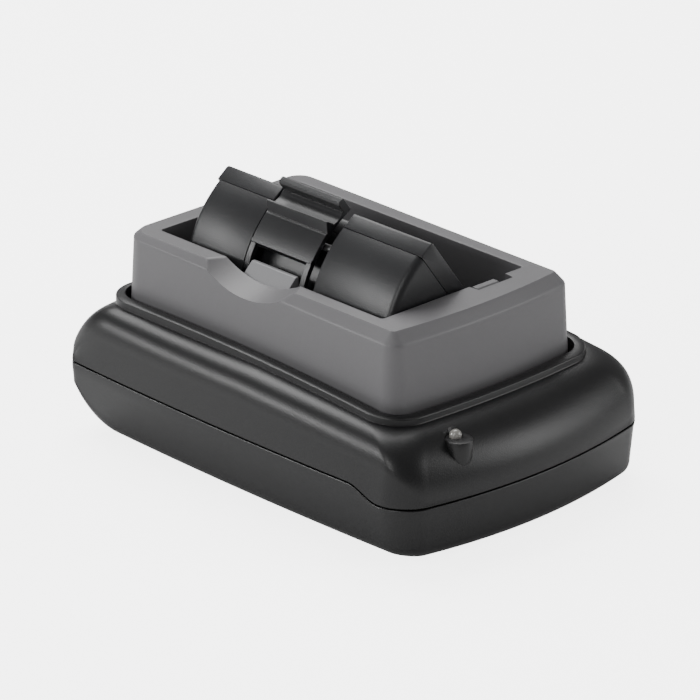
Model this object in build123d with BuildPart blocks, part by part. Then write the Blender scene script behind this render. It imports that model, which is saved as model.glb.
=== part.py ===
"""Single-bay charging dock with a removable battery pack.

Frame: origin at the middle of the footprint on the table, +X right, +Y back, +Z up, millimetres.
The indicator lamp and the short rounded end face -Y.
"""
from math import asin, cos, radians, sin, sqrt, tan
import os

from build123d import *

os.makedirs("parts", exist_ok=True)

# ---------------------------------------------------------------- driving dimensions
base_length = 195.0          # Y, overall
base_width = 132.0           # X, overall at the middle of the long sides
base_height = 52.0           # top of the blank that the arch trims
side_bow = 2.3               # how far the long sides bulge
front_bow = 9.0              # how far the lamp end bulges
back_bow = 5.0
corner_radius = 11.0         # plan corners at the lamp end
back_corner_radius = 4.0
shell_wall = 2.4
side_draft = 4.0             # degrees, upper shell
lower_draft = 9.0            # degrees, lower shell
widest_z = 25.0              # height at which both shells are widest
seam_z = 27.5                # shell joint along the sides and back
seam_drop = 4.5              # how much lower it runs round the lamp end
seam_gap = 0.5               # shadow line between the shells
seam_step_y = -62.0          # where the joint starts to drop
seam_step_length = 15.0
shoulder_radius = 11.0       # rounding along the top of the long sides
nose_radius = 18.0           # rounding along the top of the lamp end
tail_radius = 20.0           # rounding along the top of the back
tail_sweep = 24.0            # how far the underside sweeps up towards the back
bottom_radius = 5.0

arch_radius = 1400.0         # side view of the top surface
arch_crest_y = 44.0
arch_crest_z = 52.3
lip_height = 2.6             # raised rim round the cradle
lip_width = 4.5

cradle_y = 9.5               # middle of the pocket
pocket_length = 120.0
pocket_width = 72.0
pocket_radius = 1.2
rim_z = 79.5                 # flat top of the cradle
pocket_floor_z = 39.5
cradle_wall = 2.4
cradle_side = 6.0            # flat rim beside the pocket
cradle_front = 11.7          # flat rim in front of the pocket
cradle_back = 6.6
back_rim_extra = 2.4         # how much narrower the sloping band is at the back
cradle_shoulder = 3.6        # sloping band round the rim
cradle_draft = 3.0
cradle_base_z = 45.0
cradle_gap = 2.0             # between cradle and lip
back_gap = 1.0
back_lip_width = 2.6
cradle_corner = 7.0
cradle_back_corner = 11.0
cradle_front_bow = 3.0
ledge_width = 3.0            # ledge inside the lip that carries the cradle
ledge_thickness = 2.5

scoop_width = 40.0           # finger scoop in the left wall
scoop_depth = 5.0
scoop_slope = 18.0           # degrees that the scoop falls outwards

snap_width = 11.0            # flexing arms that hold the cradle down
snap_thickness = 1.8
snap_height = 22.0
snap_x = 15.0
snap_knuckle = 1.1
snap_root = 1.2              # pin's axis, from the pocket's wall
snap_pin = 0.7
snap_pin_clearance = 0.06
notch_width = 18.0
notch_depth = 4.4

pack_length = 110.0
pack_gap = 1.0               # pack to the pocket's front wall
pack_tilt = 36.5             # degrees that the pack leans
apex_x = 26.3                # pack's top edge, from the pocket's left wall
apex_height = 22.0           # pack's top edge above the rim
pack_curve = 45.0            # radius of the curved face
cover_thickness = 7.0        # back cover
pack_back = 52.0             # length of the flat back down the slope
pack_wall = 2.2
pack_edge = 2.5              # rounding round both ends of the curved face
cover_edge = 1.2
pack_floor_z = 43.0          # underside of the docked pack
cover_joint = 0.25

channel_width = 37.7         # recess that the latch sits in
channel_depth = 7.5
channel_front = 41.0         # plain stretch of pack in front of the channel
latch_side_gap = 0.45        # latch to the channel's far wall; the near side is open
latch_width = 32.5
latch_thickness = 2.0
latch_proud = 0.15
latch_edge = 24.4            # from the back face to the latch's bent edge
latch_leg = 9.0              # length of each leg beyond the edge
latch_leg_width = 2.2
latch_bar_height = 4.6       # press bar, above the latch's plate
latch_bar_width = 3.2
latch_rib_at = 9.2           # rib's crest, from the back face
latch_rib_height = 3.4
pivot_radius = 1.5
pivot_clearance = 0.06
pivot_lug = 2.6
pivot_at = 15.0              # pivot, from the back face
pivot_deep = 5.1             # pivot below the pack's top plane

keeper_side_gap = 2.05       # grey block that the latch drops over, to each leg
keeper_reach = 6.6           # how far it stands off the pocket's left wall
keeper_height = 13.0
keeper_below_rim = 0.6

lamp_radius = 2.5
transformer_x = -14.0
transformer_y = 38.0
lamp_x = -33.5
lamp_y = -85.8
lamp_ledge_z = 43.8
turret_radius = 5.0          # rounded nose under the lamp
turret_y = -88.2

foot_radius = 6.0
foot_height = 2.5
foot_sunk = 1.0
foot_x = 44.0
foot_y = 62.0
screw_x = 55.0
screw_y = 44.0
screw_radius = 1.5
screw_head_radius = 2.8
screw_sunk = 3.0
screw_bite = 10.0
boss_radius = 3.6
standoff_x = 33.0
standoff_y = 60.0
standoff_radius = 3.0
standoff_screw = 1.2
board_z = 14.0
board_thickness = 1.6
board_length = 174.0
board_width = 78.0
board_y = -3.0
inlet_radius = 2.8
inlet_pin_radius = 1.0
inlet_depth = 10.0
inlet_x = 26.0
inlet_body = 10.6
inlet_set_back = 4.0         # inlet's face, in from the back of the base
inlet_length = 15.0
inlet_fit = 0.2
plunger_pitch = 8.0
plunger_count = 4
plunger_radius = 1.0
plunger_fit = 0.06
pad_size = 5.0
contact_x = -17.0
contact_from_front = 22.0
block_width = 8.0            # contact block
block_height = 12.0
cell_radius = 8.0
cell_length = 65.0
cell_start = 11.0            # from the pack's front end
cell_places = ((41.5, 15.0), (24.5, 15.0), (33.0, 29.5))   # down the back, out from it

rest_gap = 0.3               # pack to whatever it stands on
rail_left_x = -24.5
rail_right_x = -8.0

# ---------------------------------------------------------------- derived places
pocket_left = -pocket_width / 2
pocket_front = cradle_y - pocket_length / 2
pocket_back = cradle_y + pocket_length / 2
pack_front = pocket_front + pack_gap
pack_back_end = pack_front + pack_length
pack_middle = pack_front + pack_length / 2
channel_start = pack_front + channel_front
channel_end = channel_start + channel_width
latch_y = channel_end - latch_side_gap - latch_width / 2
latch_start = latch_y - latch_width / 2
latch_end = latch_y + latch_width / 2
keeper_width = latch_width - 2 * latch_leg_width - 2 * keeper_side_gap
front_y = -base_length / 2
back_y = base_length / 2
inlet_face_y = back_y - inlet_set_back
tilt = radians(pack_tilt)
far = 200.0                  # larger than the object, for trimming blocks


def pack_point(down, out):
    """XZ of a point given down the flat back and out towards the curved face."""
    x = pocket_left + apex_x + down * sin(tilt) - out * cos(tilt)
    z = rim_z + apex_height - down * cos(tilt) - out * sin(tilt)
    return (x, z)


def arch_z(y, lift=0.0):
    """Height of the arched top surface at y."""
    run = y - arch_crest_y
    return arch_crest_z + lift - (arch_radius - sqrt(arch_radius ** 2 - run ** 2))


# XZ sketches on this plane have x right and y up; a positive extrusion goes towards -Y
def section_plane(y):
    return Plane(origin=(0, y, 0), x_dir=(1, 0, 0), z_dir=(0, -1, 0))


def side_plane(x):
    return Plane(origin=(x, 0, 0), x_dir=(0, 1, 0), z_dir=(1, 0, 0))


def rising(edge):
    """True for an edge that runs up the object rather than across it."""
    return abs(edge.tangent_at(0.5).Z) > 0.5


def plan_block(inset):
    """Block on the plan outline of the base, shrunk by inset, with rounded corners."""
    half = base_width / 2 - side_bow - inset
    front = front_y + front_bow + inset
    back = back_y - back_bow - inset
    with BuildPart() as block:
        with BuildSketch():
            with BuildLine():
                ThreePointArc((-half, front), (0, front_y + inset), (half, front))
                ThreePointArc((half, front), (half + side_bow, 0), (half, back))
                ThreePointArc((half, back), (0, back_y - inset), (-half, back))
                ThreePointArc((-half, back), (-half - side_bow, 0), (-half, front))
            make_face()
        extrude(amount=base_height + 10.0)
        corners = block.edges().filter_by(rising).sort_by(Axis.Y)
        fillet(corners[:2], radius=corner_radius - inset)
        corners = block.edges().filter_by(rising).sort_by(Axis.Y)
        fillet(corners[-2:], radius=back_corner_radius - inset)
    return block.part


def side_block(inset):
    """Block on the YZ outline of the base: arched top, rounded nose and tail, swept-up underside."""
    front = front_y + inset
    back = back_y - inset
    floor_z = foot_height + inset
    top_back = arch_z(back, -inset)
    top_front = arch_z(front, -inset)
    sweep_z = seam_z - 3.0
    with BuildPart() as block:
        with BuildSketch(side_plane(0)):
            with BuildLine():
                Line((front, floor_z), (front, top_front))
                ThreePointArc((front, top_front), (0, arch_z(0, -inset)), (back, top_back))
                Line((back, top_back), (back, sweep_z))
                ThreePointArc(
                    (back, sweep_z),
                    (back - 0.293 * tail_sweep, sweep_z - 0.707 * (sweep_z - floor_z)),
                    (back - tail_sweep, floor_z),
                )
                Line((back - tail_sweep, floor_z), (front, floor_z))
            make_face()
        extrude(amount=base_width, both=True)
        nose = block.edges().filter_by(Axis.X).sort_by(Axis.Z)[-2:].sort_by(Axis.Y)[0]
        fillet(nose, radius=nose_radius - inset)
        tail = block.edges().filter_by(Axis.X).sort_by(Axis.Z)[-1]
        fillet(tail, radius=tail_radius - inset)
    return block.part


def cross_block(inset):
    """Block on the XZ outline of the base: drafted sides, rounded shoulders."""
    half = base_width / 2 - inset
    top_z = base_height + 2.0 - inset
    top_half = half - (top_z - widest_z) * tan(radians(side_draft))
    low_half = half - (widest_z - foot_height) * tan(radians(lower_draft))
    floor_z = foot_height + inset
    with BuildPart() as block:
        with BuildSketch(section_plane(0)):
            with BuildLine():
                Polyline(
                    (-low_half, floor_z),
                    (-half, widest_z),
                    (-top_half, top_z),
                    (top_half, top_z),
                    (half, widest_z),
                    (low_half, floor_z),
                    close=True,
                )
            make_face()
        extrude(amount=base_length, both=True)
        levels = block.edges().filter_by(Axis.Y).group_by(Axis.Z)
        fillet(levels[-1], radius=shoulder_radius - inset)
        levels = block.edges().filter_by(Axis.Y).group_by(Axis.Z)
        fillet(levels[0], radius=bottom_radius - inset)
    return block.part


def base_blank(inset):
    """The base as one solid block: plan, side and cross outlines intersected."""
    with BuildPart() as blank:
        add(plan_block(inset))
        add(side_block(inset), mode=Mode.INTERSECT)
        add(cross_block(inset), mode=Mode.INTERSECT)
    return blank.part


def joint_region(shift, above):
    """Everything above, or below, the joint between the shells, moved up by shift."""
    low = seam_z - seam_drop + shift
    high = seam_z + shift
    end_y = seam_step_y - seam_step_length
    edge_z = far if above else -far
    with BuildPart() as region:
        with BuildSketch(side_plane(0)):
            with BuildLine():
                Line((far, high), (seam_step_y, high))
                Spline(
                    (seam_step_y, high),
                    (end_y, low),
                    tangents=((-1, 0), (-1, 0)),
                )
                Line((end_y, low), (-far, low))
                Line((-far, low), (-far, edge_z))
                Line((-far, edge_z), (far, edge_z))
                Line((far, edge_z), (far, high))
            make_face()
        extrude(amount=far, both=True)
    return region.part


def cradle_block(grow, start_z, height, draft=0.0, back_grow=None):
    """Block on the cradle's plan outline where its wall meets the base, grown by grow."""
    if back_grow is None:
        back_grow = grow
    spread = cradle_shoulder + (rim_z - cradle_base_z) * tan(radians(cradle_draft))
    half = pocket_width / 2 + cradle_side + spread + grow
    front = pocket_front - cradle_front - spread - grow
    back = pocket_back + cradle_back + spread + back_grow
    with BuildPart() as block:
        with BuildSketch(Plane.XY.offset(start_z)):
            with BuildLine():
                ThreePointArc((-half, front), (0, front - cradle_front_bow), (half, front))
                Line((half, front), (half, back))
                Line((half, back), (-half, back))
                Line((-half, back), (-half, front))
            make_face()
        extrude(amount=height, taper=draft)
        corners = block.edges().filter_by(rising).sort_by(Axis.Y)
        fillet(corners[-2:], radius=cradle_back_corner + back_grow)
        corners = block.edges().filter_by(rising).sort_by(Axis.Y)
        fillet(corners[:2], radius=cradle_corner + grow)
    return block.part


def arch_region(lift):
    """Everything below the arched top surface raised by lift."""
    with BuildPart() as region:
        with BuildSketch(side_plane(0)):
            with BuildLine():
                ThreePointArc((-120, arch_z(-120, lift)), (0, arch_z(0, lift)), (120, arch_z(120, lift)))
                Polyline((120, arch_z(120, lift)), (120, -10), (-120, -10), (-120, arch_z(-120, lift)))
            make_face()
        extrude(amount=far, both=True)
    return region.part


def prism(points, start_y, length):
    """A straight bar whose XZ section has the given corners, from start_y towards +Y."""
    with BuildPart() as bar:
        with BuildSketch(section_plane(start_y)):
            with BuildLine():
                Polyline(*points, close=True)
            make_face()
        extrude(amount=-length)
    return bar.part


contact_y = pack_front + contact_from_front
inlet_z = board_z + board_thickness + inlet_body / 2
board_top = board_z + board_thickness
block_length = plunger_pitch * plunger_count + 2.0
scoop_radius = (scoop_width ** 2 / 4 + scoop_depth ** 2) / (2 * scoop_depth)
scoop_drop = radians(scoop_slope)
# the scoop's cylinder runs outwards and down from the pocket's left wall
scoop_plane = Plane(
    origin=(
        pocket_left + 2.0 * cos(scoop_drop),
        latch_y,
        rim_z - scoop_depth + scoop_radius + 2.0 * sin(scoop_drop),
    ),
    x_dir=(0, 1, 0),
    z_dir=(-cos(scoop_drop), 0, -sin(scoop_drop)),
)
screw_spots = [(sx * screw_x, sy * screw_y) for sx in (-1, 1) for sy in (-1, 1)]
standoff_spots = [(sx * standoff_x, board_y + sy * standoff_y) for sx in (-1, 1) for sy in (-1, 1)]
foot_spots = [(sx * foot_x, sy * foot_y - 6.0) for sx in (-1, 1) for sy in (-1, 1)]


# ---------------------------------------------------------------- base shells
blank = base_blank(0)
hollow = base_blank(shell_wall)

with BuildPart() as base_lower_shell:
    add(blank)
    add(joint_region(0, above=False), mode=Mode.INTERSECT)
    add(hollow, mode=Mode.SUBTRACT)
    # screw bosses, seated on the floor and drilled from below
    with BuildSketch(Plane.XY.offset(foot_height + 1.0)):
        with Locations(*screw_spots):
            Circle(boss_radius)
    extrude(amount=board_z - foot_height - 1.0)
    with BuildSketch(Plane.XY):
        with Locations(*screw_spots):
            Circle(screw_radius + 0.2)
    extrude(amount=board_z + 1.0, mode=Mode.SUBTRACT)
    with BuildSketch(Plane.XY):
        with Locations(*screw_spots):
            Circle(screw_head_radius + 0.3)
    extrude(amount=foot_height + screw_sunk, mode=Mode.SUBTRACT)
    # seats for the feet
    with BuildSketch(Plane.XY):
        with Locations(*foot_spots):
            Circle(foot_radius)
    extrude(amount=foot_height + foot_sunk, mode=Mode.SUBTRACT)
    # inlet opening in the back wall
    with BuildSketch(section_plane(back_y + 1.0)):
        with Locations((inlet_x, inlet_z)):
            Rectangle(inlet_body + 2 * inlet_fit, inlet_body + 2 * inlet_fit)
    extrude(amount=inlet_length + 1.0, mode=Mode.SUBTRACT)
    # standoffs under the circuit board
    with BuildSketch(Plane.XY.offset(foot_height + 1.0)):
        with Locations(*standoff_spots):
            Circle(standoff_radius)
            Circle(standoff_screw, mode=Mode.SUBTRACT)
    extrude(amount=board_z - foot_height - 1.0)
base_lower_shell.part.label = "base_lower_shell"

# trough that holds the cradle: raised lip outside, ledge below
with BuildPart() as trough:
    add(
        cradle_block(
            cradle_gap + lip_width,
            cradle_base_z - ledge_thickness,
            30.0,
            back_grow=back_gap + back_lip_width,
        )
    )
    add(arch_region(lip_height), mode=Mode.INTERSECT)
    add(cradle_block(cradle_gap, cradle_base_z, 30.0, back_grow=back_gap), mode=Mode.SUBTRACT)
    add(cradle_block(-ledge_width, 0, far), mode=Mode.SUBTRACT)

with BuildPart() as screw_posts:
    with BuildSketch(Plane.XY.offset(board_z)):
        with Locations(*screw_spots):
            Circle(boss_radius)
    extrude(amount=far)
    add(blank, mode=Mode.INTERSECT)
    with BuildSketch(Plane.XY):
        with Locations(*screw_spots):
            Circle(screw_radius)
    extrude(amount=board_z + screw_bite, mode=Mode.SUBTRACT)

with BuildPart() as base_upper_shell:
    add(blank)
    # turret under the lamp, with its flat ledge
    with BuildSketch(Plane.XY.offset(seam_z - 3.0)):
        with Locations((lamp_x, turret_y)):
            Circle(turret_radius)
    extrude(amount=lamp_ledge_z - seam_z + 3.0)
    add(joint_region(seam_gap, above=True), mode=Mode.INTERSECT)
    add(hollow, mode=Mode.SUBTRACT)
    with BuildSketch(Plane.XY.offset(lamp_ledge_z)):
        with Locations((lamp_x, turret_y)):
            Circle(turret_radius)
    extrude(amount=10.0, mode=Mode.SUBTRACT)
    add(
        cradle_block(cradle_gap, cradle_base_z - ledge_thickness - 1.0, 30.0, back_grow=back_gap),
        mode=Mode.SUBTRACT,
    )
    add(trough.part)
    add(screw_posts.part)
    with BuildSketch(Plane.XY.offset(lamp_ledge_z - 6.0)):
        with Locations((lamp_x, lamp_y)):
            Circle(lamp_radius)
    extrude(amount=12.0, mode=Mode.SUBTRACT)
base_upper_shell.part.label = "base_upper_shell"

with BuildPart() as rubber_feet:
    with BuildSketch(Plane.XY):
        with Locations(*foot_spots):
            Circle(foot_radius)
    extrude(amount=foot_height + foot_sunk)
    chamfer(rubber_feet.edges().group_by(Axis.Z)[0], length=0.8)
rubber_feet.part.label = "rubber_feet"

with BuildPart() as shell_screws:
    with BuildSketch(Plane.XY.offset(foot_height + 0.6)):
        with Locations(*screw_spots):
            Circle(screw_head_radius)
    extrude(amount=screw_sunk - 0.6)
    with BuildSketch(Plane.XY.offset(foot_height + 0.6)):
        with Locations(*screw_spots):
            Rectangle(0.7, 3.4)
            Rectangle(3.4, 0.7)
    extrude(amount=0.8, mode=Mode.SUBTRACT)
    with BuildSketch(Plane.XY.offset(foot_height + 2.0)):
        with Locations(*screw_spots):
            Circle(screw_radius)
    extrude(amount=board_z + screw_bite - 1.0 - foot_height - 2.0)
shell_screws.part.label = "shell_screws"

# ---------------------------------------------------------------- cradle
notch_middle = snap_x + (notch_width - snap_width) / 2 - 1.0
taper_rise = rim_z - cradle_base_z


def pocket_outline(grow):
    """Plan of the pocket, grown by grow."""
    with BuildSketch() as plan:
        with Locations((0, cradle_y)):
            RectangleRounded(pocket_width + 2 * grow, pocket_length + 2 * grow, pocket_radius + grow)
    return plan.sketch


with BuildPart() as rim_block:
    add(cradle_block(0, cradle_base_z, taper_rise, cradle_draft, back_grow=back_rim_extra))
    chamfer(rim_block.edges().group_by(Axis.Z)[-1], length=cradle_shoulder)

with BuildPart() as cradle:
    add(cradle_block(0, cradle_base_z, taper_rise, cradle_draft))
    add(rim_block.part, mode=Mode.INTERSECT)
    # open underneath, around the pocket
    add(
        cradle_block(-cradle_wall, cradle_base_z, taper_rise - cradle_shoulder - cradle_wall, cradle_draft),
        mode=Mode.SUBTRACT,
    )
    # pocket walls and floor
    with BuildSketch(Plane.XY.offset(pocket_floor_z - cradle_wall)):
        add(pocket_outline(cradle_wall))
    extrude(amount=rim_z - pocket_floor_z)
    with BuildSketch(Plane.XY.offset(pocket_floor_z)):
        add(pocket_outline(0))
    extrude(amount=far, mode=Mode.SUBTRACT)
    # finger scoop through the left wall, falling outwards
    with BuildSketch(scoop_plane):
        Circle(scoop_radius)
    extrude(amount=far, mode=Mode.SUBTRACT)
    # notches for the snap arms
    for wall_y, outward in ((pocket_front, -1), (pocket_back, 1)):
        with BuildSketch(Plane.XY.offset(rim_z - snap_height - 4.0)):
            with Locations((notch_middle, wall_y)):
                Rectangle(notch_width, 2 * notch_depth)
        extrude(amount=far, mode=Mode.SUBTRACT)
        with BuildSketch(side_plane(notch_middle - notch_width / 2 - 2.5)):
            with Locations((wall_y + outward * snap_root, rim_z - snap_height)):
                Circle(snap_pin + snap_pin_clearance)
        extrude(amount=notch_width + 5.0, mode=Mode.SUBTRACT)
    # window in the floor for the contact block
    with BuildSketch(Plane.XY):
        with Locations((contact_x, contact_y)):
            Rectangle(block_width, block_length)
    extrude(amount=far, mode=Mode.SUBTRACT)
    # rails that the pack stands on
    with BuildSketch(Plane.XY.offset(pocket_floor_z)):
        with Locations((rail_left_x, pack_middle), (rail_right_x, pack_middle)):
            Rectangle(2.0, pack_length - 20.0)
    extrude(amount=pack_floor_z - rest_gap - pocket_floor_z)
cradle.part.label = "cradle"


def snap_arm(wall_y, outward):
    """Flexing arm in a rim notch: thin blade on a pin, with a thicker head at the rim."""
    root_y = wall_y + outward * snap_root
    near_y = wall_y + outward * 0.3
    blade_y = near_y + outward * snap_thickness
    head_y = near_y + outward * (snap_thickness + 1.3)
    root_z = rim_z - snap_height
    with BuildPart() as arm:
        with BuildSketch(side_plane(snap_x - snap_width / 2)):
            with BuildLine():
                Polyline(
                    (near_y, root_z),
                    (blade_y, root_z),
                    (blade_y, rim_z - 4.5),
                    (head_y, rim_z - 3.0),
                    (head_y, rim_z - 0.8),
                    (head_y - outward * 0.5, rim_z - 0.3),
                    (near_y, rim_z - 0.3),
                    close=True,
                )
            make_face()
        extrude(amount=snap_width)
        with BuildSketch(side_plane(snap_x - snap_width / 2)):
            with Locations((root_y, root_z)):
                Circle(snap_knuckle)
        extrude(amount=snap_width)
        with BuildSketch(side_plane(notch_middle - notch_width / 2 - 2.0)):
            with Locations((root_y, root_z)):
                Circle(snap_pin)
        extrude(amount=notch_width + 4.0)
    return arm.part


with BuildPart() as front_snap_arm:
    add(snap_arm(pocket_front, -1))
front_snap_arm.part.label = "front_snap_arm"

with BuildPart() as rear_snap_arm:
    add(snap_arm(pocket_back, 1))
rear_snap_arm.part.label = "rear_snap_arm"

with BuildPart() as latch_keeper:
    add(
        prism(
            [
                (pocket_left, rim_z - keeper_height),
                (pocket_left + 3.0, rim_z - keeper_height + 1.0),
                (pocket_left + keeper_reach, rim_z - keeper_height + 8.0),
                (pocket_left + keeper_reach, rim_z - keeper_below_rim),
                (pocket_left + keeper_reach - 1.6, rim_z - keeper_below_rim),
                (pocket_left, rim_z - keeper_below_rim - scoop_depth),
            ],
            latch_y - keeper_width / 2,
            keeper_width,
        )
    )
latch_keeper.part.label = "latch_keeper"

# hollow wedge that the slope of the pack leans on
rest_rise = tan(tilt)
foot_out = (rim_z + apex_height - pack_back * cos(tilt) - pack_floor_z) / sin(tilt)
foot_end = pack_point(pack_back, foot_out)[0] + 0.1
rest_low = foot_end + 4.0
rest_high = rest_low + 17.0


def rest_z(x, drop):
    return pack_floor_z + (x - foot_end) * rest_rise - drop


with BuildPart() as pack_rest:
    add(
        prism(
            [
                (rest_low, pocket_floor_z),
                (rest_low, rest_z(rest_low, rest_gap / cos(tilt))),
                (rest_high, rest_z(rest_high, rest_gap / cos(tilt))),
                (rest_high, pocket_floor_z),
            ],
            pack_front + 8.0,
            pack_length - 16.0,
        )
    )
    add(
        prism(
            [
                (rest_low + 3.0, pocket_floor_z),
                (rest_low + 3.0, rest_z(rest_low + 3.0, 3.4)),
                (rest_high - 2.4, rest_z(rest_high - 2.4, 3.4)),
                (rest_high - 2.4, pocket_floor_z),
            ],
            pack_front,
            pack_length,
        ),
        mode=Mode.SUBTRACT,
    )
pack_rest.part.label = "pack_rest"

# ---------------------------------------------------------------- contacts
plunger_spots = [
    (contact_x, contact_y + (k - (plunger_count - 1) / 2) * plunger_pitch) for k in range(plunger_count)
]
block_top = pack_floor_z - 1.0
block_base = block_top - block_height
floor_under = pocket_floor_z - cradle_wall

with BuildPart() as contact_block:
    with BuildSketch(Plane.XY.offset(block_base)):
        with Locations((contact_x, contact_y)):
            Rectangle(block_width - 0.2, block_length - 0.2)
    extrude(amount=block_height)
    with BuildSketch(Plane.XY.offset(floor_under - 2.0)):
        with Locations((contact_x, contact_y)):
            Rectangle(block_width + 5.0, block_length + 5.0)
    extrude(amount=2.0)
    with BuildSketch(Plane.XY.offset(block_base + 1.0)):
        with Locations(*plunger_spots):
            Circle(plunger_radius + plunger_fit)
    extrude(amount=far, mode=Mode.SUBTRACT)
contact_block.part.label = "contact_block"

with BuildPart() as contact_plungers:
    with BuildSketch(Plane.XY.offset(block_base + 5.0)):
        with Locations(*plunger_spots):
            Circle(plunger_radius)
    extrude(amount=pack_floor_z - 0.1 - block_base - 5.0)
    fillet(contact_plungers.edges().group_by(Axis.Z)[-1], radius=0.6)
contact_plungers.part.label = "contact_plungers"

with BuildPart() as contact_springs:
    with BuildSketch(Plane.XY.offset(block_base + 1.0)):
        with Locations(*plunger_spots):
            Circle(plunger_radius - 0.1)
            Circle(plunger_radius - 0.4, mode=Mode.SUBTRACT)
    extrude(amount=4.0)
contact_springs.part.label = "contact_springs"

with BuildPart() as contact_leads:
    with BuildSketch(Plane.XY.offset(board_top)):
        with Locations(*plunger_spots):
            Circle(0.5)
    extrude(amount=block_base - board_top)
contact_leads.part.label = "contact_leads"

# ---------------------------------------------------------------- electronics in the base
with BuildPart() as charger_board:
    with BuildSketch(Plane.XY.offset(board_z)):
        with Locations((0, board_y)):
            Rectangle(board_width, board_length)
    extrude(amount=board_thickness)
    with BuildSketch(Plane.XY):
        with Locations(*standoff_spots):
            Circle(standoff_screw + 0.1)
    extrude(amount=far, mode=Mode.SUBTRACT)
charger_board.part.label = "charger_board"

with BuildPart() as transformer_core:
    with BuildSketch(section_plane(transformer_y)):
        with Locations((transformer_x, board_top + 9.0)):
            Rectangle(28.0, 18.0)
            with GridLocations(15.0, 1.0, 2, 1):
                Rectangle(7.0, 10.0, mode=Mode.SUBTRACT)
    extrude(amount=8.0, both=True)
transformer_core.part.label = "transformer_core"

with BuildPart() as transformer_winding:
    with BuildSketch(Plane.XY.offset(board_top + 4.4)):
        with Locations((transformer_x, transformer_y)):
            RectangleRounded(21.6, 28.0, 5.0)
            Rectangle(8.4, 16.4, mode=Mode.SUBTRACT)
    extrude(amount=9.2)
transformer_winding.part.label = "transformer_winding"

with BuildPart() as filter_capacitors:
    for cap_y in (20.0, 33.0, 46.0):
        with Locations((24.0, cap_y, board_top)):
            Cylinder(5.0, 16.0, align=(Align.CENTER, Align.CENTER, Align.MIN))
    chamfer(filter_capacitors.edges().group_by(Axis.Z)[-1], length=0.6)
filter_capacitors.part.label = "filter_capacitors"

with BuildPart() as heat_sink:
    with BuildSketch(section_plane(-40.0)):
        with Locations((14.0, board_top + 1.5)):
            Rectangle(36.0, 3.0)
        for fin in range(7):
            with Locations((14.0 + (fin - 3) * 5.6, board_top + 8.0)):
                Rectangle(1.4, 16.0)
    extrude(amount=12.0, both=True)
heat_sink.part.label = "heat_sink"

with BuildPart() as controller_chip:
    with BuildSketch(Plane.XY.offset(board_top)):
        with Locations((14.0, -10.0)):
            Rectangle(10.0, 10.0)
    extrude(amount=1.4)
    chamfer(controller_chip.edges().group_by(Axis.Z)[-1], length=0.3)
controller_chip.part.label = "controller_chip"

with BuildPart() as board_screws:
    with BuildSketch(Plane.XY.offset(board_top)):
        with Locations(*standoff_spots):
            Circle(2.4)
    extrude(amount=1.6)
    with BuildSketch(Plane.XY.offset(board_z - 6.0)):
        with Locations(*standoff_spots):
            Circle(standoff_screw)
    extrude(amount=board_thickness + 6.0)
board_screws.part.label = "board_screws"

with BuildPart() as inlet_socket:
    with BuildSketch(section_plane(inlet_face_y)):
        with Locations((inlet_x, inlet_z)):
            Rectangle(inlet_body, inlet_body)
    extrude(amount=inlet_length)
    with BuildSketch(section_plane(inlet_face_y)):
        with Locations((inlet_x, inlet_z)):
            Circle(inlet_radius)
    extrude(amount=inlet_depth, mode=Mode.SUBTRACT)
inlet_socket.part.label = "inlet_socket"

with BuildPart() as inlet_pin:
    with BuildSketch(section_plane(inlet_face_y - 1.0)):
        with Locations((inlet_x, inlet_z)):
            Circle(inlet_pin_radius)
    extrude(amount=inlet_depth - 1.0)
inlet_pin.part.label = "inlet_pin"

with BuildPart() as status_lamp:
    with BuildSketch(Plane.XY.offset(lamp_ledge_z - 5.5)):
        with Locations((lamp_x, lamp_y)):
            Circle(lamp_radius - 0.1)
    extrude(amount=5.7)
    with Locations((lamp_x, lamp_y, lamp_ledge_z + 0.2)):
        Sphere(lamp_radius - 0.1)
status_lamp.part.label = "status_lamp"

with BuildPart() as lamp_holder:
    with BuildSketch(Plane.XY.offset(board_top)):
        with Locations((lamp_x, lamp_y)):
            Circle(lamp_radius + 1.2)
            Circle(lamp_radius - 0.6, mode=Mode.SUBTRACT)
    extrude(amount=lamp_ledge_z - 5.5 - board_top)
lamp_holder.part.label = "lamp_holder"

# ---------------------------------------------------------------- battery pack
curve_centre = pack_point(pack_curve, cover_thickness)
cover_line = cover_thickness + cover_joint


def curve_point(radius, angle):
    """Point on the curved face; the angle is from the -X direction, upwards."""
    return (curve_centre[0] - radius * cos(angle), curve_centre[1] + radius * sin(angle))


def section_edge(pack_inset, radius):
    """Corners of the housing's section: start of the curve, its middle, its end, foot, heel."""
    start_angle = radians(90.0) - tilt - asin((cover_line - cover_thickness) / radius)
    end_angle = -asin((curve_centre[1] - pack_floor_z - pack_inset) / radius)
    heel_down = pack_back - pack_inset
    foot_out = (rim_z + apex_height - heel_down * cos(tilt) - pack_floor_z - pack_inset) / sin(tilt)
    return (
        curve_point(radius, start_angle),
        curve_point(radius, (start_angle + end_angle) / 2),
        curve_point(radius, end_angle),
        pack_point(heel_down, foot_out),
        pack_point(heel_down, cover_line),
    )


def housing_bar(pack_inset, radius, start_y, length):
    """Bar with the housing's section between start_y and start_y + length."""
    start, middle, end, foot, heel = section_edge(pack_inset, radius)
    with BuildPart() as bar:
        with BuildSketch(section_plane(start_y)):
            with BuildLine():
                ThreePointArc(start, middle, end)
                Polyline(end, foot, heel, start)
            make_face()
        extrude(amount=-length)
    return bar.part


def local_bar(corners, start_y, length):
    """Bar whose section is given down the flat back and out from it."""
    return prism([pack_point(down, out) for down, out in corners], start_y, length)


def ring_bar(outer, inner, start_y, length):
    """Ring about the curved face's axis."""
    with BuildPart() as ring:
        with BuildSketch(section_plane(start_y)):
            with Locations(curve_centre):
                Circle(outer)
                Circle(inner, mode=Mode.SUBTRACT)
        extrude(amount=-length)
    return ring.part


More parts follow.
